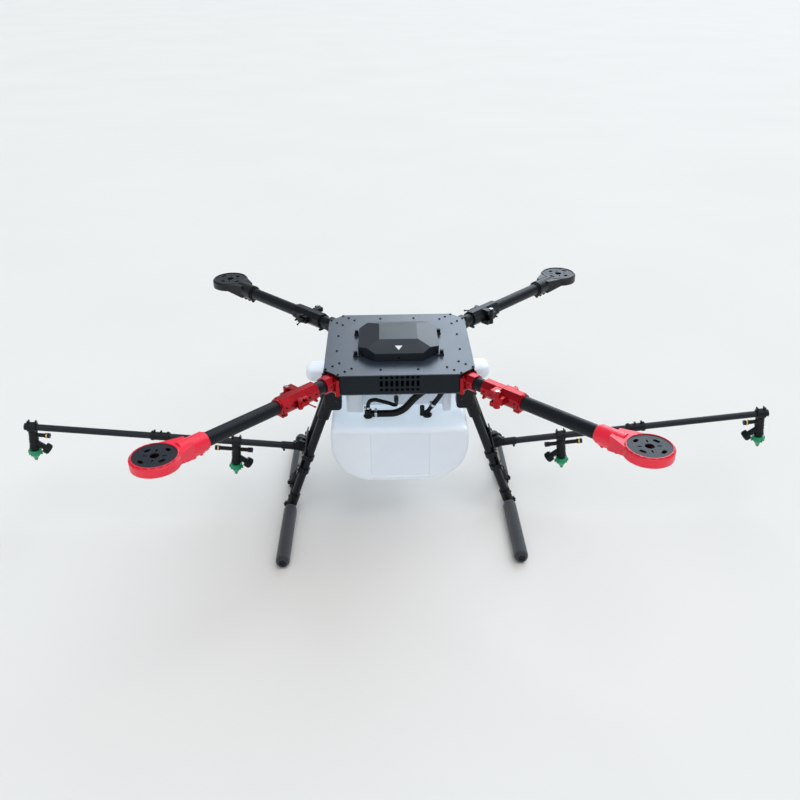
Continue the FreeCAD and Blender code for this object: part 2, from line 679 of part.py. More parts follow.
def leg_tee(name, end):
    """T joint: a clamp round the skid tube with a socket for the leg."""
    middle = f"{end} * leg_y"
    solid = [rod(name + "_barrel", "tee_radius", 26, 0, f"{middle} - 13", 0, "y"),
             rod(name + "_socket", "leg_radius + 3", 34, 0, middle, 2),
             box(name + "_lip", (8, 17), (f"{middle} - 5", f"{middle} + 5"), (-6, 4))]
    hollow = [rod(name + "_skid_bore", "skid_radius + fit_gap", 40, 0, f"{middle} - 20", 0, "y"),
              rod(name + "_leg_bore", "leg_radius + fit_gap", 40, 0, middle, 12)]
    return cut(name, fuse(name + "_solid", solid), hollow)


def leg_mount(name, end):
    """Block under the body that clamps the top of a leg, its lower inner corner rounded."""
    top = "plate_top - body_height"
    body = block(name + "_block", 40, 34, 95, rounds=[(front_to_back_at(0), 9), (upright, 3)])
    put(body, "mount_inner_x + 20", f"{end} * leg_y", f"{top} - 95")
    flange = box(name + "_flange", ("mount_inner_x - 4", "mount_inner_x + 30"),
                 (f"{end} * leg_y - 24", f"{end} * leg_y + 24"), (f"{top} - 5", top))
    lean = Rotation(Vector(0, 1, 0), -D["leg_lean"])
    foot = Placement(Vector(D["skid_x"], end * D["leg_y"], D["skid_z"]), lean)
    sleeve = sized("Part::Cylinder", name + "_sleeve",
                   foot * Placement(Vector(0, 0, 268), Rotation()),
                   Radius="leg_radius + 4.5", Height=118)
    bore = sized("Part::Cylinder", name + "_bore", foot, Radius="leg_radius + fit_gap",
                 Height=400)
    above = box(name + "_above", (0, 300), (-200, 200), (top, f"{top} + 60"))
    return cut(name, fuse(name + "_solid", [body, flange, sleeve]), [bore, above])


def foam_sleeve(name, end):
    """Foam round the skid tube, blown round at its outer end and tapered at its inner end."""
    length = "foam_end - foam_start"
    body = turned(name, [("skid_radius + 0.05", 0), ("foam_radius - 6", 0),
                         ("foam_radius - 1.2", 5), ("foam_radius", 12),
                         ("foam_radius", f"{length} - 9"), ("foam_radius - 1.6", f"{length} - 4"),
                         ("foam_radius - 5", f"{length}"), ("skid_radius + 0.05", f"{length}")])
    turn = Rotation(Vector(1, 0, 0), -90 * end)
    body.Placement = Placement(Vector(0, end * D["foam_start"], 0), turn)
    return body


def skid_tube(name):
    pipe = tube(name, "skid_radius", "skid_radius - 1.2", "2 * skid_half", 0, "-skid_half", 0, "y")
    plugs = [rod(name + "_plug", "skid_radius - 0.2", 3, 0, y, 0, "y")
             for y in ("-skid_half - 2", "skid_half - 1")]
    return fuse(name + "_plugged", [pipe] + plugs)


def on_skid(feature, angle):
    """Move a piece drawn about the skid's middle to the skid, on one side."""
    frame = Placement(Vector(), Rotation(UP, angle)) * Placement(
        Vector(D["skid_x"], 0, D["skid_z"]), Rotation())
    return placed(feature, frame * feature.Placement)


group("leg_tubes", [placed(leg_tube(f"{side}_leg_{i}", end), side_frame(angle))
                    for i, (side, angle, end) in enumerate(LEGS)])
group("leg_tees", [placed(leg_tee(f"{side}_tee_{i}", end), side_frame(angle))
                   for i, (side, angle, end) in enumerate(LEGS)])
group("leg_mounts", [placed(leg_mount(f"{side}_leg_mount_{i}", end),
                            Placement(Vector(), Rotation(UP, angle)))
                     for i, (side, angle, end) in enumerate(LEGS)])
group("skid_tubes", [on_skid(skid_tube(f"{side}_skid"), angle) for side, angle in SIDES.items()])
group("foam_sleeves", [on_skid(foam_sleeve(f"{side}_foam_{i}", end), angle)
                       for i, (side, angle, end) in enumerate(LEGS)])


# ---- booms --------------------------------------------------------------------------

def boom_bracket(name):
    """Plate clamped to both legs of a side, with a fork and pin for the boom."""
    solid = [box(name + "_plate", (12, 15), (-62, 62), (98, 166))]
    bores = []
    for end in (-1, 1):
        for along in (112, 150):
            middle = f"{end} * leg_y"
            solid.append(rod(name + "_clamp", "leg_radius + 3.4", 14, 0, middle, along - 7))
            solid.append(box(name + "_pad", (2, 12), (f"{middle} - 12", f"{middle} + 12"),
                             (along - 7, along + 7)))
        bores.append(rod(name + "_leg_bore", "leg_radius + fit_gap", 80, 0, f"{end} * leg_y", 92))
    for low, high in ((-11, -6), (6, 11)):
        solid.append(rod(name + "_cheek", 12, high - low, "pin_out", low, "pin_along", "y"))
        solid.append(box(name + "_cheek_foot", (15, "pin_out"), (low, high),
                         ("pin_along - 16", "pin_along + 12")))
    pin = rod(name + "_pin", "pin_radius", 26, "pin_out", -13, "pin_along", "y")
    heads = [rod(name + "_pin_head", 5, 2, "pin_out", y, "pin_along", "y") for y in (-13, 11)]
    return fuse(name, [cut(name + "_bored", fuse(name + "_solid", solid), bores), pin] + heads)


def boom_root(name):
    """Hinge knuckle with the sleeve that holds the boom tube and its clamp screw."""
    solid = [rod(name + "_knuckle", 10.4, 11.3, 0, -5.65, 0, "y"),
             box(name + "_neck", (0, 17), (-5.65, 5.65), (-18, 2)),
             rod(name + "_sleeve", "root_sleeve_radius", "root_sleeve_end - 15", 15, 0,
                 "-boom_below", "x"),
             rod(name + "_screw", 2.8, 8, "root_sleeve_end - 6", 0, "-boom_below - 16")]
    hollow = [rod(name + "_pin_hole", "pin_radius + fit_gap", 14, 0, -7, 0, "y"),
              rod(name + "_bore", "boom_radius + fit_gap", 60, "boom_start - 0.5", 0,
                  "-boom_below", "x")]
    return cut(name, fuse(name + "_solid", solid), hollow)


def boom_pipe(name, start, end, plugged):
    pipe = tube(name, "boom_radius", "boom_radius - boom_wall", f"{end} - {start}", start, 0,
                "-boom_below", "x")
    if not plugged:
        return pipe
    return fuse(name + "_plugged", [pipe, rod(name + "_plug", "boom_radius + 0.8", 4, end, 0,
                                              "-boom_below", "x")])


def boom_coupler(name):
    """Sleeve over the joint of the two tubes, with two spring hooks."""
    solid = [rod(name + "_sleeve", "boom_radius + 2.2", 46, "boom_joint - 23", 0, "-boom_below",
                 "x")]
    for x in (-22, 15):
        solid.append(rod(name + "_band", "boom_radius + 3.4", 7, f"boom_joint + {x}", 0,
                         "-boom_below", "x"))
    for x, z in ((12, 10), (-4, 9)):
        solid.append(box(name + "_hook", (f"boom_joint + {x}", f"boom_joint + {x} + 4"), (-3, 3),
                         ("-boom_below + 8", f"-boom_below + {z + 6}")))
    bore = rod(name + "_bore", "boom_radius + fit_gap", 60, "boom_joint - 30", 0, "-boom_below",
               "x")
    return cut(name, fuse(name + "_solid", solid), [bore])


def nozzle_body(name, at, outer_port):
    """Clamp on the boom, body with side check valve, and push-fit connectors."""
    axis = "-boom_below"
    solid = [rod(name + "_clamp", "boom_radius + 4.4", 20, f"{at} - 10", 0, axis, "x"),
             rod(name + "_trunk", "nozzle_radius", 47, at, 0, f"{axis} - 56"),
             rod(name + "_spigot", "spigot_radius", 17, at, 0, f"{axis} - 72"),
             rod(name + "_flange", "nozzle_radius + 1.4", 4, at, 0, f"{axis} - 58")]
    for x in (-10, 7):
        solid.append(box(name + "_ear", (f"{at} + {x}", f"{at} + {x} + 3"), (-6, 6),
                         (f"{axis} + 6", f"{axis} + 17")))
    reach = 50 if outer_port else 0
    solid.append(rod(name + "_port", 5, 38 + reach, f"{at} - 38", 0, f"{axis} - 21.6", "x"))
    for x in (-38, 40)[: 2 if outer_port else 1]:
        solid.append(rod(name + "_collar", 6.2, 10, f"{at} + {x}", 0, f"{axis} - 21.6", "x"))
    inboard = Rotation(Vector(0, 0, 1), Vector(-0.85, 0, -0.53))
    neck = rod(name + "_valve_neck", 7, 30)
    put(neck, at, 0, f"{axis} - 40", inboard)
    hexagon = doc.addObject("Part::Prism", name + "_valve_cap")
    bind(hexagon, Circumradius=13.5, Height=13)
    put(hexagon, f"{at} - 24.2", 0, f"{axis} - 55.1", inboard)
    hollow = [rod(name + "_boom_bore", "boom_radius + fit_gap", 30, f"{at} - 15", 0, axis, "x"),
              rod(name + "_channel", 3, 50, at, 0, f"{axis} - 73")]
    return cut(name, fuse(name + "_solid", solid + [neck, hexagon]), hollow)


def nozzle_cap(name):
    """Pointed bayonet cap with its jet hole."""
    cap = turned(name, [(1.5, 0), (3.2, 0), (6, 8), (13.8, 19), (14.5, 22), (14.5, "cap_height"),
                        ("spigot_radius + 0.4", "cap_height"), ("spigot_radius + 0.4", 13),
                        (1.5, 9)])
    return cap


for side, angle in SIDES.items():
    frame = boom_frame(angle)
    part(f"{side}_boom_root", boom_root(f"{side}_boom_root_shape"), frame)
    pipes = [placed(boom_pipe(f"{side}_inner_pipe", "boom_start", "boom_joint", False), frame),
             placed(boom_pipe(f"{side}_outer_pipe", "boom_joint", "boom_end", True), frame)]
    group(f"{side}_boom_tubes", pipes)
    part(f"{side}_boom_coupler", boom_coupler(f"{side}_coupler_shape"), frame)
    nozzles = {"inner": ("nozzle_inner", True), "outer": ("nozzle_outer", False)}
    group(f"{side}_nozzle_bodies",
          [placed(nozzle_body(f"{side}_{where}_nozzle", at, port), frame)
           for where, (at, port) in nozzles.items()])
    for where, (at, _) in nozzles.items():
        seat = Placement(Vector(D[at], 0, -D["boom_below"] - D["cap_tip"]), Rotation())
        part(f"{side}_{where}_nozzle_cap", nozzle_cap(f"{side}_{where}_cap_shape"), frame * seat)
group("boom_brackets", [placed(boom_bracket(f"{side}_bracket"), side_frame(angle))
                        for side, angle in SIDES.items()])


# ---- tank ---------------------------------------------------------------------------

def moved_block(name, x, y, z, rounds):
    """A rounded block between limits."""
    body = block(name, f"({x[1]}) - ({x[0]})", f"({y[1]}) - ({y[0]})", f"({z[1]}) - ({z[0]})",
                 rounds=rounds)
    return put(body, f"(({x[0]}) + ({x[1]})) / 2", f"(({y[0]}) + ({y[1]})) / 2", z[0])


def tank_form(name, inset):
    """The tank's outline shrunk by an inset: belly, neck, wings, rear tower."""
    belly_height = D["tank_high"] - D["tank_low"] - 2 * inset
    belly = moved_block(
        name + "_belly", (f"-tank_half + {inset}", f"tank_half - {inset}"),
        (f"-tank_front + {inset}", f"tank_back - {inset}"),
        (f"tank_low + {inset}", f"tank_high - {inset}"),
        [(front_to_back_at(0), f"belly_round - {inset}"), (level_at(belly_height), 16 - inset),
         (upright, 14 - inset)])
    neck = moved_block(
        name + "_neck", (f"-neck_half + {inset}", f"neck_half - {inset}"),
        (f"-neck_front + {inset}", f"tank_back - {inset}"),
        ("tank_high - 40", f"neck_top - {inset}"), [(upright, 12 - inset)])
    wings = moved_block(
        name + "_wings", (f"-wing_half + {inset}", f"wing_half - {inset}"),
        (f"wing_near + {inset}", f"wing_far - {inset}"),
        (f"wing_low + {inset}", f"wing_high - {inset}"),
        [(lambda edge: True, f"wing_round - {inset}")])
    tower = moved_block(
        name + "_tower", (f"-tower_half + {inset}", f"tower_half - {inset}"),
        ("tank_back - 45", f"tower_back - {inset}"),
        (f"tower_low + {inset}", f"tower_high - {inset}"), [(upright, 18 - inset)])
    return [belly, neck, wings, tower]


def tank():
    """Blow-moulded tank: open filler neck at the rear, hose recess and a sunk front panel."""
    filler = rod("filler_neck", "filler_radius", "filler_top - tower_high + 4", 0, "filler_y",
                 "tower_high - 4")
    outside = fuse("tank_outside", tank_form("tank_outer", 0) + [filler])
    recess = box("hose_recess", (-86, 105), ("-neck_front - 10", 0),
                 ("tank_high", "neck_top + 5"))
    sunk = box("front_panel_recess", (-68, 69), ("-tank_front - 5", "-tank_front + 1.6"),
               ("tank_low + 16", "tank_high - 13"))
    carved = cut("tank_carved", outside, [recess, sunk])
    inner_recess = box("inner_recess", ("-86 - tank_wall", "105 + tank_wall"),
                       ("-neck_front - 10", "tank_wall"),
                       ("tank_high - tank_wall", "neck_top + 5"))
    inside = cut("tank_inside", fuse("tank_inner", tank_form("tank_inner", D["tank_wall"])),
                 [inner_recess])
    filler_bore = rod("filler_bore", "filler_radius - 4", 60, 0, "filler_y", "tower_high - 30")
    return cut("tank_shell", carved, [inside, filler_bore])


def filler_cap():
    """Screw cap: skirt over the neck, plug into it, and a cross grip."""
    low = "filler_top - 16"
    skirt = tube("cap_skirt", "filler_radius + 6", "filler_radius + 1", 16, 0, "filler_y", low)
    top = rod("cap_top", "filler_radius + 6", 4, 0, "filler_y", "filler_top")
    ring = tube("cap_seal", "filler_radius - 5", "filler_radius - 8", 6, 0, "filler_y",
                "filler_top - 6")
    grip = box("cap_grip", (-34, 34), ("filler_y - 5", "filler_y + 5"),
               ("filler_top + 4", "filler_top + 13"))
    ribs = [rod("cap_rib", 1.8, 18, f"(filler_radius + 6) * {math.cos(a):.4f}",
                f"filler_y + (filler_radius + 6) * {math.sin(a):.4f}", f"{low} + 1")
            for a in (math.radians(15 * i) for i in range(24))]
    return fuse("filler_cap_shape", [skirt, top, ring, grip] + ribs)


part("tank", tank())
part("filler_cap", filler_cap())


# ---- hoses --------------------------------------------------------------------------

def rounded_path(points):
    """Straight runs joined by tangent arcs, each as large as its two runs allow."""
    edges = []
    last = points[0]
    for before, corner, after in zip(points, points[1:], points[2:]):
        back = before - corner
        ahead = after - corner
        turn = math.pi - back.getAngle(ahead)
        setback = 0.45 * min(back.Length, ahead.Length)
        radius = setback / math.tan(turn / 2)
        print(f"hose bend radius {radius:.1f}")
        start = corner + Vector(back).normalize() * setback
        end = corner + Vector(ahead).normalize() * setback
        middle_way = (Vector(back).normalize() + Vector(ahead).normalize()).normalize()
        centre = corner + middle_way * math.hypot(radius, setback)
        middle = centre - middle_way * radius
        edges.append(Part.LineSegment(last, start).toShape())
        edges.append(Part.Arc(start, middle, end).toShape())
        last = end
    edges.append(Part.LineSegment(last, points[-1]).toShape())
    return Part.Wire(edges)


def hose(name, radius, route):
    """A round hose along a route of points."""
    points = [Vector(*p) for p in route]
    path = rounded_path(points)
    ring = Part.Wire(Part.Circle(points[0], points[1] - points[0], radius).toShape())
    feature = doc.addObject("Part::Feature", name)
    feature.Shape = path.makePipeShell([ring], True, True)
    expected = math.pi * radius ** 2 * path.Length
    print(name, f"length {path.Length:.0f}", f"volume ratio {feature.Shape.Volume / expected:.4f}")
    return feature


ELBOW = Vector(-73, -58, D["tank_high"])
BARB = Vector(66, -58, D["tank_high"] + 11)
BARB_LEAN = Vector(0.57, 0, 0.82)
SUCTION_ROUTE = [(84, -60, 392), (74, -60, 352), (38, -58, 323), (4, -58, 279.8),
                 (-61.8, -58, 279.8)]
LOOP_ROUTE = [(-73, -58, 291.2), (-73, -58, 304), (-69, -57, 314), (-56, -55, 316),
              (-40, -52, 309), (-24, -48, 302), (-6, -42, 291), (-6, -18.2, 291)]
RETURN_ROUTE = [(112, -60, 392), (110, -60, 356), BARB + BARB_LEAN * 56, BARB + BARB_LEAN * 16.3]
group("tank_hoses", [hose("suction_hose", D["suction_radius"], SUCTION_ROUTE),
                     hose("vent_loop", D["loop_radius"], LOOP_ROUTE),
                     hose("return_hose", D["return_radius"], RETURN_ROUTE)])


def hose_fittings():
    """Elbow, tee and stub fittings on the tank that the hoses push on to."""
    elbow = fuse("elbow_fitting", [
        rod("elbow_body", 8.5, 20, ELBOW.x, ELBOW.y, "tank_high"),
        rod("elbow_arm", 8.2, 15, ELBOW.x - 4, ELBOW.y, "tank_high + 8.8", "x"),
        rod("elbow_nut", 10, 6, ELBOW.x, ELBOW.y, "tank_high")])
    tee = fuse("tee_fitting", [
        rod("tee_body", 7.4, 13, BARB.x, BARB.y, "tank_high"),
        rod("tee_nut", 10, 7, BARB.x, BARB.y, "tank_high"),
        rod("tee_link", 4.5, 16, BARB.x - 16, BARB.y, "tank_high + 8", "x"),
        rod("tee_stub", 5.5, 24, BARB.x - 12, BARB.y, "tank_high + 3"),
        sized("Part::Cylinder", "tee_barb", Placement(BARB, Rotation(UP, BARB_LEAN)),
              Radius=5, Height=16)])
    stub = rod("loop_fitting", 5.6, 18, -6, -18, 291, "y")
    return [elbow, tee, stub]


group("hose_fittings", hose_fittings())


# ---- check and write ----------------------------------------------------------------

doc.recompute()
broken = [o.Label for o in doc.Objects if "Invalid" in o.State or "Error" in o.State]
if broken:
    raise SystemExit(f"features failed: {broken}")
os.makedirs("parts", exist_ok=True)
for label, feature in PARTS.items():
    shape = feature.Shape
    if shape.isNull() or not shape.isValid() or shape.Volume < 1:
        raise SystemExit(f"{label} has no valid shape")
    shape.exportStep(f"parts/{label}.step")
    print(f"{label:28s} solids {len(shape.Solids)} volume {shape.Volume:10.0f}")
print(len(PARTS), "parts written")
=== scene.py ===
"""Looks for the folding four-arm spray drone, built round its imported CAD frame.

Everything is in metres in the part's frame: origin on the ground, +Z up, the drone faces -Y.
"""
import math

import bmesh
import bpy
from mathutils import Matrix, Vector


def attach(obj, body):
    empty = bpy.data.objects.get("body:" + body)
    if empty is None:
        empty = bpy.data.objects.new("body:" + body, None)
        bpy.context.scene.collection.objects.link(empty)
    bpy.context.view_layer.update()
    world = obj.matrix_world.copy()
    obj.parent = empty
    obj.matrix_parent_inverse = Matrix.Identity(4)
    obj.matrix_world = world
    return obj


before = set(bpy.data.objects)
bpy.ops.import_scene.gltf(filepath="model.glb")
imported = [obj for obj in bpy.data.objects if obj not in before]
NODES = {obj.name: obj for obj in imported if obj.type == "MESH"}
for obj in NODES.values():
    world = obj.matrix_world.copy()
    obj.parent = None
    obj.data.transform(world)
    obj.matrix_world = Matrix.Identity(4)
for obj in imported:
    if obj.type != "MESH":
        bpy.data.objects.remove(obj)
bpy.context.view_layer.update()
MM = 0.001

# Places that follow the CAD model, in millimetres and degrees.
PLATE_TOP = 436
ARM_Z = 412
CORNERS = {"front_right": -45, "rear_right": 45, "rear_left": 135, "front_left": 225}
SIDES = {"right": 0, "left": 180}

# Arms: half widths of the fold blocks and root sockets, and where their screws sit.
BLOCK_SIDE, BASE_SCREWS, HEAD_SCREWS = 19, (270, 288), (336, 351)
SOCKET_SIDE, SOCKET_SCREW = 18, 226
PILLAR_REACH, PILLAR_SIDE, PILLAR_TOP = 213.4, 21, 14
HEAD_END, SLEEVE_START, SLEEVE_SCREWS, SLEEVE_LOW = 360, 545, (553, 569, 585), -26
MOTOR_REACH, DISH_FLOOR, RIM_NOTCHES = 650.5, 2.5, 20

# Cover: half sizes at the wall and at the flat top, their heights, and its shift forward.
COVER_HALF, COVER_FLAT, COVER_HIGH, COVER_WALL, COVER_SHIFT = 88, 44, 34, 19, -11

# Landing gear: the legs' lean, where a leg meets its skid, and the leg mounts' screws.
LEAN = 20.2
SKID_X, SKID_Z, LEG_Y = 273, 16, 48
MOUNT_X, MOUNT_SIDE, MOUNT_SCREWS = 146, 17, (318, 366)

# Booms: their rise, the hinge pin along and out from the leg, and the nozzles' reach along
# the boom, each with whether its hose goes on outwards.
RISE = 6.1
PIN_ALONG, PIN_OUT = 152.3, 26.2
BOOM_AXIS, COUPLER_REACH = -10, 341
NOZZLES = {"inner": (156, True), "outer": (648, False)}
PORT_DROP, VALVE_BACK, VALVE_DROP, CAP_DROP = 21.6, 24.2, 55.1, 94

# Hoses at the front of the tank.
HOSE_Y, ELBOW_X, BARB_X, NUT_Z = -58, -73, 66, 271.2


# ---- frames -------------------------------------------------------------------------

def turn(axis, degrees):
    return Matrix.Rotation(math.radians(degrees), 4, axis)


def arm_frame(angle):
    """X runs out along the arm, Y to its left, Z up, in millimetres."""
    return Matrix.Translation((0, 0, ARM_Z)) @ turn("Z", angle)


def leg_frame(angle):
    """X points out of the leg plane, Y along the skid, Z up the leg."""
    return turn("Z", angle) @ Matrix.Translation((SKID_X, 0, SKID_Z)) @ turn("Y", -LEAN)


def boom_frame(angle):
    """X runs out along the boom from its hinge pin, Z up."""
    lean = math.radians(LEAN)
    pin_x = SKID_X - PIN_ALONG * math.sin(lean) + PIN_OUT * math.cos(lean)
    pin_z = SKID_Z + PIN_ALONG * math.cos(lean) + PIN_OUT * math.sin(lean)
    return turn("Z", angle) @ Matrix.Translation((pin_x, 0, pin_z)) @ turn("Y", -RISE)


def at(x, y, z, direction=(0, 0, 1)):
    """A place whose Z points along a direction."""
    spin = Vector(direction).normalized().to_track_quat("Z", "Y").to_matrix().to_4x4()
    return Matrix.Translation((x, y, z)) @ spin


# ---- mesh code ----------------------------------------------------------------------

def ring(bm, radius, height, count, shape=None):
    verts = []
    for i in range(count):
        a = 2 * math.pi * i / count
        r = shape(a) if shape else radius
        verts.append(bm.verts.new((r * math.cos(a), r * math.sin(a), height)))
    return verts


def bridge(bm, low, high):
    count = len(low)
    for i in range(count):
        j = (i + 1) % count
        bm.faces.new((low[i], low[j], high[j], high[i]))


def skin(bm, rings, closed=False):
    """Faces from ring to ring, then the two ends, unless the form closes on itself."""
    for low, high in zip(rings, rings[1:]):
        bridge(bm, low, high)
    if closed:
        bridge(bm, rings[-1], rings[0])
    else:
        bm.faces.new(list(reversed(rings[0])))
        bm.faces.new(rings[-1])
    bmesh.ops.recalc_face_normals(bm, faces=bm.faces)
    return bm


def lathe(profile, count=40, closed=False):
    """A turned form from (radius, height) points; open ends are capped."""
    bm = bmesh.new()
    return skin(bm, [ring(bm, r, z, count) for r, z in profile], closed)


def prism(low, high):
    """A form between two outlines with the same number of points."""
    bm = bmesh.new()
    rows = [[bm.verts.new(spot) for spot in outline] for outline in (low, high)]
    bridge(bm, *rows)
    bm.faces.new(rows[1])
    bm.faces.new(list(reversed(rows[0])))
    bmesh.ops.recalc_face_normals(bm, faces=bm.faces)
    return bm


def hexagon(apothem):
    def shape(a):
        return apothem / math.cos((a % (math.pi / 3)) - math.pi / 6)
    return shape


def cap_screw(radius, height):
    """A cap screw head: chamfered rim and a hex socket half as wide."""
    bm = bmesh.new()
    count = 24
    key = hexagon(radius * 0.5)
    return skin(bm, [
        ring(bm, radius * 0.97, 0, count), ring(bm, radius, height * 0.12, count),
        ring(bm, radius, height * 0.82, count), ring(bm, radius * 0.86, height, count),
        ring(bm, 0, height, count, key), ring(bm, 0, height * 0.45, count, key)])


def hex_nut(apothem, height):
    """A nut or bolt head with chamfered corners."""
    bm = bmesh.new()
    count = 24
    outer = hexagon(apothem)
    trimmed = apothem * 1.04

    def end(a):
        return min(outer(a), trimmed)
    return skin(bm, [
        ring(bm, 0, 0, count, end), ring(bm, 0, height * 0.12, count, outer),
        ring(bm, 0, height * 0.88, count, outer), ring(bm, 0, height, count, end)])


def slab(x, y, z, edge, segments=2):
    """A box between limits with rounded edges."""
    bm = bmesh.new()
    bmesh.ops.create_cube(bm, size=1)
    for v in bm.verts:
        v.co = Vector((x[0] if v.co.x < 0 else x[1], y[0] if v.co.y < 0 else y[1],
                       z[0] if v.co.z < 0 else z[1]))
    bmesh.ops.bevel(bm, geom=bm.edges[:], offset=edge, segments=segments, affect="EDGES",
                    profile=0.6)
    bmesh.ops.recalc_face_normals(bm, faces=bm.faces)
    return bm


def band(radius, width, thick):
    """A worm-drive clamp round Z: a plain band with its screw housing."""
    bm = lathe([(radius, -width / 2), (radius + thick, -width / 2 + 0.2),
                (radius + thick, width / 2 - 0.2), (radius, width / 2)], 48, closed=True)
    house = slab((radius, radius + 5), (-4.5, 4.5), (-width / 2 - 0.4, width / 2 + 0.4), 1.0)
    join(bm, house)
    head = hex_nut(2.6, 3)
    head.transform(at(radius + 3, 4, 0, (0, 1, 0)))
    join(bm, head)
    return bm


def spokes(make, steps, count, place):
    """The same form at some of count even steps round Z, at one place."""
    forms = []
    for step in steps:
        form = make(step)
        form.transform(turn("Z", 360 / count * step))
        forms.append((form, place))
    return forms


def join(target, extra):
    """Add one form to another."""
    spare = bpy.data.meshes.new("spare")
    extra.to_mesh(spare)
    extra.free()
    target.from_mesh(spare)
    bpy.data.meshes.remove(spare)


def piece(name, forms, body, material, smooth=35):
    """One shown piece made of forms in millimetres, each with its place."""
    whole = bmesh.new()
    for form, place in forms:
        form.transform(place)
        join(whole, form)
    whole.transform(Matrix.Scale(MM, 4))
    mesh = bpy.data.meshes.new(name)
    whole.to_mesh(mesh)
    whole.free()
    for polygon in mesh.polygons:
        polygon.use_smooth = True
    mesh.set_sharp_from_angle(angle=math.radians(smooth))
    obj = bpy.data.objects.new(name, mesh)
    bpy.context.scene.collection.objects.link(obj)
    mesh.materials.append(material)
    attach(obj, body)


# ---- materials ----------------------------------------------------------------------

class Shader:
    """A Principled material and short ways to add nodes to it."""

    def __init__(self, name, base, rough, metal=0.0):
        self.material = bpy.data.materials.new(name)
        self.material.use_nodes = True
        self.tree = self.material.node_tree
        self.bsdf = self.tree.nodes["Principled BSDF"]
        self.bsdf.inputs["Base Color"].default_value = (*base, 1)
        self.bsdf.inputs["Roughness"].default_value = rough
        self.bsdf.inputs["Metallic"].default_value = metal
        self.base = base
        self.rough = rough
        self.place = self.add("ShaderNodeTexCoord").outputs["Object"]

    def add(self, kind, **values):
        node = self.tree.nodes.new(kind)
        for key, value in values.items():
            setattr(node, key, value)
        return node

    def link(self, source, target):
        self.tree.links.new(source, target)

    def set(self, **values):
        for key, value in values.items():
            self.bsdf.inputs[key.replace("_", " ")].default_value = value

    def math(self, operation, a, b=None):
        node = self.add("ShaderNodeMath", operation=operation)
        for index, value in enumerate((a, b)):
            if value is None:
                continue
            if isinstance(value, (int, float)):
                node.inputs[index].default_value = value
            else:
                self.link(value, node.inputs[index])
        return node.outputs[0]

    def noise(self, size_mm, detail=3.0, stretch=None, rough=0.55):
        """Noise whose grains are about size_mm across."""
        source = self.place
        if stretch:
            mapping = self.add("ShaderNodeMapping")
            mapping.inputs["Scale"].default_value = stretch
            self.link(source, mapping.inputs["Vector"])
            source = mapping.outputs["Vector"]
        node = self.add("ShaderNodeTexNoise")
        node.inputs["Scale"].default_value = 1000 / size_mm
        node.inputs["Detail"].default_value = detail
        node.inputs["Roughness"].default_value = rough
        self.link(source, node.inputs["Vector"])
        return node.outputs["Fac"]

    def span(self, value, low, high, start=0.3, end=0.7):
        node = self.add("ShaderNodeMapRange")
        for name, number in (("From Min", start), ("From Max", end), ("To Min", low),
                             ("To Max", high)):
            node.inputs[name].default_value = number
        self.link(value, node.inputs["Value"])
        return node.outputs["Result"]

    def mix(self, fac, a, b):
        node = self.add("ShaderNodeMix", data_type="RGBA")
        self.link(fac, node.inputs["Factor"])
        for index, value in ((6, a), (7, b)):
            if isinstance(value, tuple):
                node.inputs[index].default_value = (*value, 1)
            else:
                self.link(value, node.inputs[index])
        return node.outputs[2]

    def rounded(self, radius_mm):
        """A normal that rounds sharp edges, and a mask of those edges."""
        bevel = self.add("ShaderNodeBevel", samples=4)
        bevel.inputs["Radius"].default_value = radius_mm * MM
        geometry = self.add("ShaderNodeNewGeometry")
        dot = self.add("ShaderNodeVectorMath", operation="DOT_PRODUCT")
        self.link(bevel.outputs["Normal"], dot.inputs[0])
        self.link(geometry.outputs["Normal"], dot.inputs[1])
        return bevel.outputs["Normal"], self.span(dot.outputs["Value"], 1, 0, 0.75, 0.99)

    def bump(self, height, strength, distance_mm, normal=None):
        node = self.add("ShaderNodeBump")
        node.inputs["Strength"].default_value = strength
        node.inputs["Distance"].default_value = distance_mm * MM
        self.link(height, node.inputs["Height"])
        if normal is not None:
            self.link(normal, node.inputs["Normal"])
        return node.outputs["Normal"]

    def surface(self, tone=0.12, mottle=18, rough=0.08, grain=0.5, relief=0.08, depth=0.05,
                edge=0.6, wear=0.35, worn=None, stretch=None):
        """Colour variation, uneven gloss, fine grain and edges that catch the light."""
        patch = self.noise(mottle, 4)
        fine = self.noise(grain, 2, stretch)
        low = tuple(c * (1 - tone) for c in self.base)
        high = tuple(min(1, c * (1 + tone)) for c in self.base)
        colour = self.mix(self.span(patch, 0, 1), low, high)
        normal, mask = self.rounded(edge)
        if wear:
            scuffs = self.math("MULTIPLY", mask, self.span(self.noise(4, 3), 0, wear))
            colour = self.mix(scuffs, colour, worn or tuple(min(1, c * 2.2 + 0.04)
                                                            for c in self.base))
        self.link(colour, self.bsdf.inputs["Base Color"])
        both = self.math("ADD", self.math("MULTIPLY", patch, 0.6),
                         self.math("MULTIPLY", fine, 0.4))
        self.link(self.span(both, max(0.03, self.rough - rough), min(1, self.rough + rough)),
                  self.bsdf.inputs["Roughness"])
        self.link(self.bump(fine, relief, depth, normal), self.bsdf.inputs["Normal"])


def satin_sheet():
    s = Shader("satin_sheet", (0.032, 0.046, 0.070), 0.34, 0.35)
    s.surface(tone=0.14, mottle=60, rough=0.06, grain=0.35, relief=0.08, depth=0.03, edge=0.5,
              wear=0.5, worn=(0.16, 0.18, 0.21))
    s.set(Specular_IOR_Level=0.85, Coat_Weight=0.3, Coat_Roughness=0.28)
    return s.material


def powder_panel():
    s = Shader("powder_panel", (0.0125, 0.018, 0.0235), 0.55)
    s.surface(tone=0.10, mottle=40, rough=0.06, grain=0.6, relief=0.2, depth=0.06, edge=0.5,
              wear=0.3)
    s.set(Specular_IOR_Level=0.12)
    return s.material


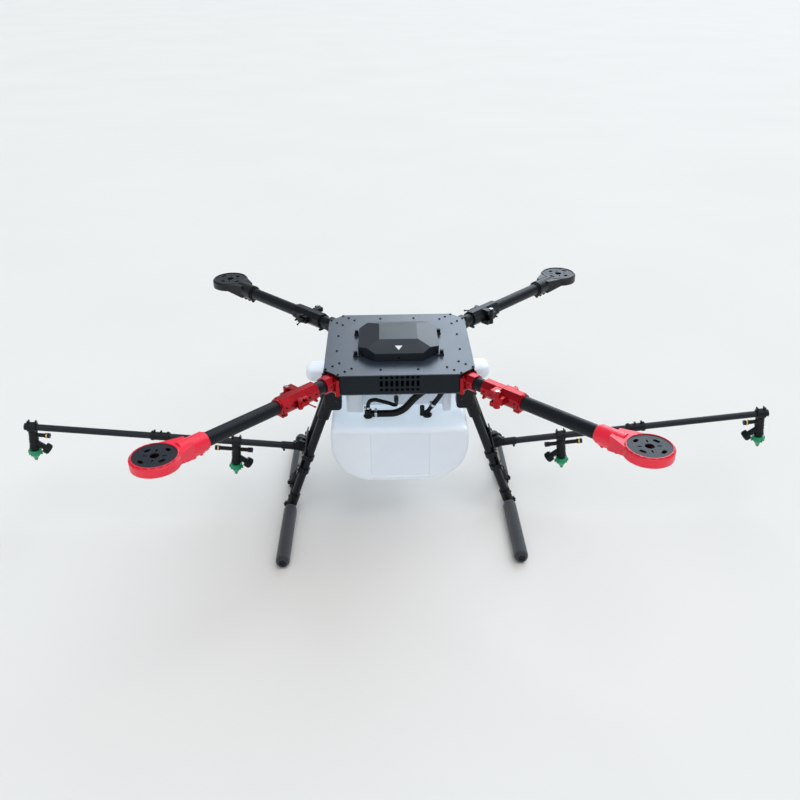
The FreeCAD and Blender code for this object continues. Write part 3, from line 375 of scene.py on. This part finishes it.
def moulded_cover():
    s = Shader("moulded_cover", (0.0085, 0.0135, 0.0215), 0.34)
    s.surface(tone=0.12, mottle=50, rough=0.05, grain=0.9, relief=0.2, depth=0.06, edge=1.2,
              wear=0.3, worn=(0.07, 0.085, 0.10))
    s.set(Specular_IOR_Level=0.48)
    return s.material


def black_moulding(name="black_moulding", base=(0.0065, 0.008, 0.0105), rough=0.42, gloss=0.22):
    s = Shader(name, base, rough)
    s.surface(tone=0.14, mottle=22, rough=0.08, grain=0.7, relief=0.2, depth=0.06, edge=0.8,
              wear=0.45, worn=(0.06, 0.066, 0.074))
    s.set(Specular_IOR_Level=gloss)
    return s.material


def red_anodised():
    s = Shader("red_anodised", (0.42, 0.001, 0.009), 0.25, 0.7)
    s.surface(tone=0.10, mottle=25, rough=0.06, grain=0.25, relief=0.08, depth=0.02, edge=0.9,
              wear=0.45, worn=(0.80, 0.12, 0.14), stretch=(0.3, 0.3, 3.0))
    s.set(Specular_IOR_Level=0.35, Coat_Weight=0.22, Coat_Roughness=0.12)
    return s.material


def black_anodised():
    s = Shader("black_anodised", (0.008, 0.0095, 0.0125), 0.34, 0.3)
    s.surface(tone=0.15, mottle=20, rough=0.07, grain=0.25, relief=0.08, depth=0.02, edge=0.9,
              wear=0.5, worn=(0.13, 0.135, 0.145), stretch=(0.3, 0.3, 3.0))
    s.set(Specular_IOR_Level=0.3)
    return s.material


def red_moulding():
    s = Shader("red_moulding", (1.0, 0.014, 0.050), 0.36)
    s.surface(tone=0.06, mottle=35, rough=0.05, grain=0.8, relief=0.14, depth=0.05, edge=1.0,
              wear=0.35, worn=(1.0, 0.26, 0.28))
    s.set(Subsurface_Weight=0.12, Subsurface_Scale=0.003, Specular_IOR_Level=0.45,
          Coat_Weight=0.24, Coat_Roughness=0.3)
    return s.material


def steel(name, base, rough):
    s = Shader(name, base, rough, 1.0)
    s.surface(tone=0.12, mottle=6, rough=0.08, grain=0.2, relief=0.1, depth=0.02, edge=0.3,
              wear=0.3, stretch=(4, 4, 0.5))
    return s.material


def weave(s, along, around, cell_mm, base):
    """A two-by-two twill of tows under clear resin, from two lengths in metres."""
    cell = cell_mm * MM
    s_cells = s.math("DIVIDE", along, cell)
    t_cells = s.math("DIVIDE", around, cell)
    steps = s.math("ADD", s.math("FLOOR", s_cells), s.math("FLOOR", t_cells))
    which = s.math("LESS_THAN", s.math("FLOORED_MODULO", steps, 4), 1.5)
    crown_s = s.math("SINE", s.math("MULTIPLY", s.math("FRACT", t_cells), math.pi))
    crown_t = s.math("SINE", s.math("MULTIPLY", s.math("FRACT", s_cells), math.pi))
    warp = s.math("MULTIPLY", which, crown_s)
    weft = s.math("MULTIPLY", s.math("SUBTRACT", 1.0, which), crown_t)
    height = s.math("ADD", warp, weft)
    tone = s.mix(which, tuple(c * 0.75 for c in base), tuple(c * 1.3 for c in base))
    mottled = s.mix(s.span(s.noise(30, 3), 0, 0.3), tone, tuple(c * 1.5 for c in base))
    s.link(mottled, s.bsdf.inputs["Base Color"])
    gloss = s.math("ADD", s.math("MULTIPLY", height, 0.10), s.rough)
    s.link(s.math("ADD", gloss, s.span(s.noise(9, 3), -0.05, 0.06)),
           s.bsdf.inputs["Roughness"])
    normal, _ = s.rounded(0.4)
    s.link(s.bump(height, 0.25, 0.06, normal), s.bsdf.inputs["Normal"])
    s.set(Specular_IOR_Level=0.2, Coat_Weight=0.08, Coat_Roughness=0.22)


def carbon_tube(name, origin, axis, radius_mm, base=(0.0068, 0.0090, 0.0130)):
    """Woven tube; origin and axis are given in the quadrant where X and Y are positive."""
    s = Shader(name, base, 0.36, 0.1)
    split = s.add("ShaderNodeSeparateXYZ")
    s.link(s.place, split.inputs[0])
    gather = s.add("ShaderNodeCombineXYZ")
    s.link(s.math("ABSOLUTE", split.outputs[0]), gather.inputs[0])
    s.link(s.math("ABSOLUTE", split.outputs[1]), gather.inputs[1])
    s.link(split.outputs[2], gather.inputs[2])
    shift = s.add("ShaderNodeVectorMath", operation="SUBTRACT")
    s.link(gather.outputs[0], shift.inputs[0])
    shift.inputs[1].default_value = Vector(origin) * MM
    ahead = Vector(axis).normalized()
    across = ahead.cross(Vector((0, 1, 0)) if abs(ahead.y) < 0.9 else Vector((0, 0, 1)))
    across.normalize()
    sides = []
    for direction in (ahead, across, ahead.cross(across)):
        dot = s.add("ShaderNodeVectorMath", operation="DOT_PRODUCT")
        s.link(shift.outputs[0], dot.inputs[0])
        dot.inputs[1].default_value = direction
        sides.append(dot.outputs["Value"])
    angle = s.math("ARCTAN2", sides[2], sides[1])
    cells = max(8, 4 * round(2 * math.pi * radius_mm / 2.2 / 4))
    cell = 2 * math.pi * radius_mm / cells
    weave(s, sides[0], s.math("MULTIPLY", angle, radius_mm * MM), cell, s.base)
    return s.material


def carbon_sheet():
    s = Shader("carbon_sheet", (0.018, 0.023, 0.030), 0.33, 0.1)
    mapping = s.add("ShaderNodeMapping")
    mapping.inputs["Rotation"].default_value = (0, 0, math.radians(45))
    s.link(s.place, mapping.inputs["Vector"])
    split = s.add("ShaderNodeSeparateXYZ")
    s.link(mapping.outputs[0], split.inputs[0])
    weave(s, split.outputs[0], split.outputs[1], 2.2, s.base)
    return s.material


def foam():
    s = Shader("foam", (0.019, 0.023, 0.030), 0.82)
    cells = s.add("ShaderNodeTexVoronoi")
    cells.inputs["Scale"].default_value = 1000 / 1.1
    s.link(s.place, cells.inputs["Vector"])
    pores = s.span(cells.outputs["Distance"], 0, 1, 0.05, 0.75)
    soft = s.noise(14, 4)
    colour = s.mix(s.span(soft, 0, 1), (0.024, 0.029, 0.038), (0.042, 0.050, 0.064))
    s.link(s.mix(pores, (0.008, 0.010, 0.013), colour), s.bsdf.inputs["Base Color"])
    s.link(s.span(soft, 0.74, 0.9), s.bsdf.inputs["Roughness"])
    skin = s.bump(soft, 0.25, 1.2)
    s.link(s.bump(pores, 0.4, 0.25, skin), s.bsdf.inputs["Normal"])
    s.set(Sheen_Weight=0.25, Sheen_Roughness=0.5)
    return s.material


def milky_tank():
    s = Shader("milky_tank", (0.86, 0.93, 1.0), 0.36)
    cloud = s.noise(120, 3)
    flow = s.noise(45, 4, (1, 1, 0.3))
    colour = s.mix(s.span(cloud, 0, 1), (0.82, 0.86, 0.91), (0.89, 0.92, 0.95))
    # Painted highlight: rounded edges are mixed halfway to a lighter colour.
    normal, mask = s.rounded(2.5)
    s.link(s.mix(s.math("MULTIPLY", mask, 0.5), colour, (0.90, 0.93, 0.96)),
           s.bsdf.inputs["Base Color"])
    s.link(s.span(flow, 0.28, 0.46), s.bsdf.inputs["Roughness"])
    skin = s.bump(flow, 0.18, 1.4, normal)
    s.link(s.bump(s.noise(1.3, 2), 0.06, 0.12, skin), s.bsdf.inputs["Normal"])
    # Painted light: a bluish glow, faint on the sides and stronger on faces that point up,
    # stands for light passing through the milky plastic into the shade under the body.
    s.set(Subsurface_Weight=0.5, Subsurface_Scale=0.03, Subsurface_Radius=(0.8, 0.95, 1.0),
          Emission_Color=(0.74, 0.87, 1.0, 1))
    facing = s.add("ShaderNodeSeparateXYZ")
    s.link(s.add("ShaderNodeNewGeometry").outputs["Normal"], facing.inputs[0])
    s.link(s.span(facing.outputs[2], 0.07, 0.40, 0.4, 1.0), s.bsdf.inputs["Emission Strength"])
    return s.material


def rubber_hose():
    s = Shader("rubber_hose", (0.004, 0.005, 0.0065), 0.38)
    s.surface(tone=0.2, mottle=14, rough=0.1, grain=0.6, relief=0.18, depth=0.06, edge=0.4,
              wear=0)
    s.set(Specular_IOR_Level=0.25)
    return s.material


def gloss_plastic(name, base, rough=0.28):
    s = Shader(name, base, rough)
    s.surface(tone=0.08, mottle=10, rough=0.05, grain=0.5, relief=0.1, depth=0.03, edge=0.6,
              wear=0.3)
    s.set(Subsurface_Weight=0.08, Subsurface_Scale=0.002)
    return s.material


SATIN = satin_sheet()
BLACK = black_moulding()
DARK_METAL = black_anodised()
RED_METAL = red_anodised()
RED_PLASTIC = red_moulding()
BLACK_MOUNT = black_moulding("black_mount", (0.008, 0.010, 0.013), 0.36, 0.35)
DARK_SCREW = steel("dark_screw", (0.05, 0.052, 0.058), 0.34)
PLATE_SCREW = black_moulding("plate_screw", (0.0035, 0.004, 0.005), 0.5, 0.1)
# Painted shade: the next three are dark colours for the motor rims' notches and the insides of
# the motor dishes.
RIM_NOTCH_SHADE = gloss_plastic("rim_notch_shade", (0.60, 0.006, 0.026), 0.45)
DEEP_RED_SHADE = gloss_plastic("deep_red_shade", (0.07, 0.001, 0.004), 0.5)
BLACK_SHADE = gloss_plastic("black_shade", (0.002, 0.002, 0.0025), 0.5)
BRIGHT_STEEL = steel("bright_steel", (0.56, 0.57, 0.58), 0.26)
BRASS = steel("brass", (0.72, 0.50, 0.20), 0.27)
BLUE_RING = gloss_plastic("blue_ring", (0.006, 0.02, 0.10))
GREEN = gloss_plastic("green_nozzle", (0.0, 0.30, 0.125), 0.26)
WHITE_INK = gloss_plastic("white_ink", (0.86, 0.87, 0.88), 0.45)
BOARD = gloss_plastic("board", (0.008, 0.07, 0.04), 0.4)
HOSE = rubber_hose()
TANK = milky_tank()
LEG_TUBE = carbon_tube("leg_carbon", (SKID_X, LEG_Y, SKID_Z),
                       (-math.sin(math.radians(LEAN)), 0, math.cos(math.radians(LEAN))), 10)
BOOM_START = boom_frame(0) @ Vector((0, 0, BOOM_AXIS))
BOOM_END = boom_frame(0) @ Vector((100, 0, BOOM_AXIS))
NODE_MATERIALS = {
    "top_plate": SATIN, "bottom_plate": SATIN, "wall_panels": powder_panel(),
    "plate_screws": PLATE_SCREW, "power_board": BOARD, "flight_controller": BLACK,
    "pump": BLACK, "front_root_brackets": RED_METAL, "rear_root_brackets": DARK_METAL,
    "front_fold_bases": RED_METAL, "rear_fold_bases": DARK_METAL,
    "stub_tubes": carbon_tube("stub_carbon", (0, 0, ARM_Z), (1, 1, 0), 15),
    "arm_hinge_pins": BRIGHT_STEEL, "leg_mounts": BLACK, "leg_tubes": LEG_TUBE,
    "leg_tees": BLACK, "skid_tubes": carbon_tube("skid_carbon", (SKID_X, 0, SKID_Z),
                                                 (0, 1, 0), 8),
    "foam_sleeves": foam(), "boom_brackets": DARK_METAL, "tank": TANK, "tank_hoses": HOSE,
    "hose_fittings": BLACK, "cover_shell": moulded_cover(), "filler_cap": BLACK,
}
ARM_TUBE = carbon_tube("arm_carbon", (0, 0, ARM_Z), (1, 1, 0), 15)
MOTOR_SHEET = carbon_sheet()
BOOM_TUBE = carbon_tube("boom_carbon", BOOM_START, BOOM_END - BOOM_START, 8,
                        (0.014, 0.018, 0.024))
for corner in CORNERS:
    front = corner.startswith("front")
    metal = RED_METAL if front else DARK_METAL
    NODE_MATERIALS[corner + "_fold_head"] = metal
    NODE_MATERIALS[corner + "_latch_lever"] = metal
    NODE_MATERIALS[corner + "_arm_tube"] = ARM_TUBE
    NODE_MATERIALS[corner + "_motor_mount"] = RED_PLASTIC if front else BLACK_MOUNT
    NODE_MATERIALS[corner + "_motor_plate"] = MOTOR_SHEET
    NODE_MATERIALS["cover_knob_" + corner] = BLACK
for side in SIDES:
    NODE_MATERIALS[side + "_boom_root"] = BLACK
    NODE_MATERIALS[side + "_boom_tubes"] = BOOM_TUBE
    NODE_MATERIALS[side + "_boom_coupler"] = BLACK
    NODE_MATERIALS[side + "_nozzle_bodies"] = BLACK
    for where in NOZZLES:
        NODE_MATERIALS[f"{side}_{where}_nozzle_cap"] = GREEN
for node, obj in NODES.items():
    obj.data.materials.clear()
    obj.data.materials.append(NODE_MATERIALS[node])
    for polygon in obj.data.polygons:
        polygon.use_smooth = True
    obj.data.set_sharp_from_angle(angle=math.radians(24))


# ---- arm details --------------------------------------------------------------------

def rim_notch_shade_form():
    """Painted shade: a dark filling set into one notch, just below the slope of the rim."""
    section = [(44.3, 13.9), (46.3, 13.9), (46.3, 15.1), (44.6, 17.05), (44.3, 17.05)]
    return prism(*([(x, y, z) for x, z in section] for y in (-4.85, 4.85)))


def arm_details(corner, angle):
    arm = arm_frame(angle)
    body = corner + "_arm"
    metal, metal_slot = DARK_METAL, "black_anodised"
    # The last two are painted shade: dark colours for the rim's notches and the dish's inside.
    plastic, plastic_slot, notch_shade, dish_shade = BLACK_MOUNT, "black_plastic", BLACK_SHADE, BLACK_SHADE
    if corner.startswith("front"):
        metal, metal_slot = RED_METAL, "red_anodised"
        plastic, plastic_slot, notch_shade, dish_shade = RED_PLASTIC, "red_plastic", RIM_NOTCH_SHADE, DEEP_RED_SHADE

    def screws(kind, rides, spots, radius, height):
        heads = [(cap_screw(radius, height), arm @ at(*spot)) for spot in spots]
        piece(f"{corner}_{kind}_screws", heads, rides, DARK_SCREW)

    def sides(reach, width):
        return [(reach, side * width, 0, (0, side, 0)) for side in (-1, 1)]

    screws("root", "airframe", [spot for u in BASE_SCREWS for spot in sides(u, BLOCK_SIDE)]
           + sides(SOCKET_SCREW, SOCKET_SIDE), 2.4, 1.4)
    screws("pillar", "airframe", [(PILLAR_REACH, side * PILLAR_SIDE, PILLAR_TOP, (0, 0, 1))
                                  for side in (-1, 1)], 3.2, 1.5)
    screws("head", body, [spot for u in HEAD_SCREWS for spot in sides(u, BLOCK_SIDE)]
           + [(350, 9, -21.5, (0, 1, 0))], 2.4, 1.4)
    screws("mount", body, [(u, 0, SLEEVE_LOW, (0, 0, -1)) for u in SLEEVE_SCREWS], 3.1, 2.0)
    # Painted shade: dark fillings in the rim's notches, all but those beside the neck.
    at_neck = RIM_NOTCHES // 2
    notches = [step for step in range(RIM_NOTCHES) if abs(step - at_neck) > 1]
    notch_shades = spokes(lambda _: rim_notch_shade_form(), notches, RIM_NOTCHES, arm @ at(MOTOR_REACH, 0, 0))
    piece(corner + "_rim_notch_shades", notch_shades, body, notch_shade)
    # The first is painted shade: a dark cup over the dish's floor and walls, standing for the
    # shade inside the motor dish.
    for kind, profile, count, place, material, slot in (
            ("dish_shade_cup", [(0.4, 0), (36.2, 0), (36.2, 9), (35.4, 9), (35.4, 0.8), (0.4, 0.8)],
             64, at(MOTOR_REACH, 0, DISH_FLOOR), dish_shade, plastic_slot),
            ("head_collar", [(15.2, 0), (18.4, 0.4), (18.4, 3.4), (15.2, 4.4)],
             48, at(HEAD_END, 0, 0, (1, 0, 0)), metal, metal_slot),
            ("mount_cuff", [(15.1, 0), (17.2, 0.3), (17.6, 2.4), (17.6, 5), (15.1, 5.4)],
             48, at(SLEEVE_START, 0, 0, (-1, 0, 0)), plastic, plastic_slot)):
        piece(f"{corner}_{kind}", [(lathe(profile, count, True), arm @ place)], body, material)


for corner, angle in CORNERS.items():
    arm_details(corner, angle)


# ---- cover details ------------------------------------------------------------------

def cover_arrow():
    """A plain raised triangle on the front facet that points forward."""
    run, fall = COVER_HALF - COVER_FLAT, COVER_HIGH - COVER_WALL
    slope = Vector((0, -run, -fall)).normalized()
    normal = Vector((0, -fall, run)).normalized()
    below = 4
    centre = Vector((0, COVER_SHIFT - (COVER_HALF + COVER_FLAT) / 2 - below,
                     PLATE_TOP + (COVER_HIGH + COVER_WALL) / 2 - below * fall / run))
    outline = [(-8.5, -6.0), (8.5, -6.0), (0, 8.5)]
    return prism(*([centre + Vector((x, 0, 0)) + slope * y + normal * lift for x, y in outline]
                   for lift in (-0.2, 0.35)))


piece("cover_arrow", [(cover_arrow(), Matrix())], "cover", WHITE_INK)


# ---- spray details ------------------------------------------------------------------

def nozzle_details(side, boom, where, reach, goes_on):
    """What sits on one nozzle body; goes_on says that its hose leads on outwards."""
    body, name = side + "_boom", f"{side}_{where}"

    def spot(x, z, direction=(0, 0, 1)):
        return boom @ at(reach + x, 0, BOOM_AXIS + z, direction)

    collar = [(5.4, 0), (6.3, 0.4), (6.3, 2.2), (4.6, 2.8), (2.6, 2.6), (2.6, 1.0)]
    ends = [(lathe(collar, 36), spot(-38, -PORT_DROP, (-1, 0, 0)))]
    brass = spot(-30.5, -PORT_DROP, (-1, 0, 0))
    if goes_on:
        ends.append((lathe(collar, 36), spot(50, -PORT_DROP, (1, 0, 0))))
        brass = spot(42.5, -PORT_DROP, (1, 0, 0))
    brass_form = [(6.1, 0), (6.8, 0.4), (6.8, 3.6), (6.1, 4)]
    piece(name + "_brass", [(lathe(brass_form, 36, True), brass)], body, BRASS)
    piece(name + "_release_rings", ends, body, BLUE_RING)
    valve = Vector((-0.85, 0, -0.53)).normalized()
    seat = boom @ at(*(Vector((reach - VALVE_BACK, 0, BOOM_AXIS - VALVE_DROP)) + valve * 13),
                     valve)
    dome = lathe([(11.2, -1.5), (11.4, 0), (11.0, 1.6), (8.8, 2.8), (4.6, 3.3), (1.0, 3.4)], 36)
    ribs = spokes(lambda _: slab((11.0, 12.9), (-0.9, 0.9), (-11, 0), 0.4, 1), range(12), 12,
                  seat)
    piece(name + "_valve_grip", [(dome, seat)] + ribs, body, BLACK)
    bolt = [(cap_screw(3.4, 2.6), spot(10, 12, (1, 0, 0))),
            (hex_nut(3.3, 2.4), spot(-10, 12, (-1, 0, 0))),
            (lathe([(1.6, 0), (1.6, 14)], 16), spot(-7, 12, (1, 0, 0)))]
    piece(name + "_clamp_bolt", bolt, body, DARK_SCREW)
    hoops = [(lathe([(11.0, z), (11.7, z + 0.3), (11.7, z + 1.6), (11.0, z + 1.9)], 40, True),
              spot(0, 0)) for z in (-34, -42, -50)]
    piece(name + "_body_hoops", hoops, body, BLACK)
    grips = spokes(lambda step: slab((13.0, 15.4 if step % 5 else 17.4), (-1.1, 1.1),
                                     (17.5, 26.5), 0.5), range(10), 10, spot(0, -CAP_DROP))
    piece(name + "_cap_ribs", grips, name + "_cap", GREEN)


def boom_details(side, angle):
    boom, leg = boom_frame(angle), leg_frame(angle)
    for where, (reach, goes_on) in NOZZLES.items():
        nozzle_details(side, boom, where, reach, goes_on)
    bolts = [(cap_screw(3.0, 2.0), leg @ at(15, y + dy, z, (1, 0, 0)))
             for y in (-LEG_Y, LEG_Y) for dy in (-9, 9) for z in (112, 150)]
    bolts += [(cap_screw(2.6, 1.8), leg @ at(15, y, 159, (1, 0, 0))) for y in (-22, 22)]
    piece(side + "_bracket_screws", bolts, "airframe", DARK_SCREW)
    coupler = [(cap_screw(2.6, 2), boom @ at(COUPLER_REACH + x, 0, BOOM_AXIS + 11.4))
               for x in (-18.5, 18.5)]
    piece(side + "_coupler_screws", coupler, side + "_boom", DARK_SCREW)


for side, angle in SIDES.items():
    boom_details(side, angle)


def leg_details():
    screws = []
    for angle in SIDES.values():
        spin, leg = turn("Z", angle), leg_frame(angle)
        for y in (-LEG_Y, LEG_Y):
            screws += [(cap_screw(2.6, 1.4), spin @ at(MOUNT_X, y + way * MOUNT_SIDE, z,
                                                       (0, way, 0)))
                       for z in MOUNT_SCREWS for way in (-1, 1)]
            screws.append((cap_screw(2.6, 1.8), leg @ at(17, y, -1, (1, 0, 0))))
            screws.append((cap_screw(2.8, 1.8), leg @ at(13, y, 24, (1, 0, 0))))
    piece("leg_screws", screws, "airframe", DARK_SCREW)


def hose_details():
    bands = [(band(8.6, 6, 0.8), at(-55, HOSE_Y, 279.8, (1, 0, 0))),
             (band(6.1, 6, 0.8), at(79, HOSE_Y, 300.7, (0.57, 0, 0.82))),
             (band(4.7, 5, 0.7), at(ELBOW_X, HOSE_Y, 296))]
    piece("hose_clamps", bands, "airframe", BRIGHT_STEEL)
    nuts = [(hex_nut(9.8, 6), at(ELBOW_X, HOSE_Y, NUT_Z)),
            (hex_nut(9.8, 7), at(BARB_X, HOSE_Y, NUT_Z))]
    piece("tank_nuts", nuts, "airframe", BLACK)


leg_details()
hose_details()


# ---- camera, light, floor -----------------------------------------------------------

def camera():
    """The photograph's viewpoint."""
    yaw, pitch, roll = -0.017960, 0.502249, -0.009589
    data = bpy.data.cameras.new("camera")
    data.lens = 38.17
    data.sensor_width = 36
    data.clip_start, data.clip_end = 0.05, 200
    obj = bpy.data.objects.new("camera", data)
    bpy.context.scene.collection.objects.link(obj)
    ahead = Vector((-math.sin(yaw) * math.cos(pitch), math.cos(yaw) * math.cos(pitch),
                    -math.sin(pitch)))
    right = Vector((math.cos(yaw), math.sin(yaw), 0))
    up = right.cross(ahead)
    tilted_right = right * math.cos(roll) + up * math.sin(roll)
    tilted_up = up * math.cos(roll) - right * math.sin(roll)
    spin = Matrix((tilted_right, tilted_up, -ahead)).transposed().to_4x4()
    obj.matrix_world = Matrix.Translation((-0.029039, -1.794158, 1.268704)) @ spin
    bpy.context.scene.camera = obj


def soft_sun(name, spot, angle, strength, tint):
    """A wide, soft light from far away in one direction."""
    data = bpy.data.lights.new(name, "SUN")
    data.angle = math.radians(angle)
    data.energy = strength
    data.color = tint
    obj = bpy.data.objects.new(name, data)
    bpy.context.scene.collection.objects.link(obj)
    obj.location = spot
    obj.rotation_euler = (-Vector(spot)).to_track_quat("-Z", "Y").to_euler()


def studio():
    world = bpy.data.worlds.new("studio")
    bpy.context.scene.world = world
    world.use_nodes = True
    world.node_tree.nodes["Background"].inputs["Color"].default_value = (0.88, 0.95, 1.0, 1)
    world.node_tree.nodes["Background"].inputs["Strength"].default_value = 0.34
    soft_sun("back", (2.05, 4.0, 2.7), 54, 1.9, (0.79, 0.90, 1.0))
    soft_sun("key", (1.2, -0.5, 4.0), 60, 1.2, (1.0, 1.0, 0.985))
    soft_sun("front", (-1.2, -4.0, 3.2), 60, 0.55, (1.0, 0.99, 0.975))
    data = bpy.data.meshes.new("floor")
    reach = 60
    data.from_pydata([(-reach, -reach, 0), (reach, -reach, 0), (reach, reach, 0),
                      (-reach, reach, 0)], [], [(0, 1, 2, 3)])
    floor = bpy.data.objects.new("floor", data)
    floor.location.z = -0.0005
    bpy.context.scene.collection.objects.link(floor)
    s = Shader("floor_paper", (0.83, 0.81, 0.785), 0.9)
    tone = s.noise(900, 2)
    s.link(s.mix(s.span(tone, 0, 1), (0.82, 0.80, 0.775), (0.84, 0.82, 0.795)),
           s.bsdf.inputs["Base Color"])
    data.materials.append(s.material)
    bpy.context.scene.view_settings.view_transform = "Standard"


camera()
studio()
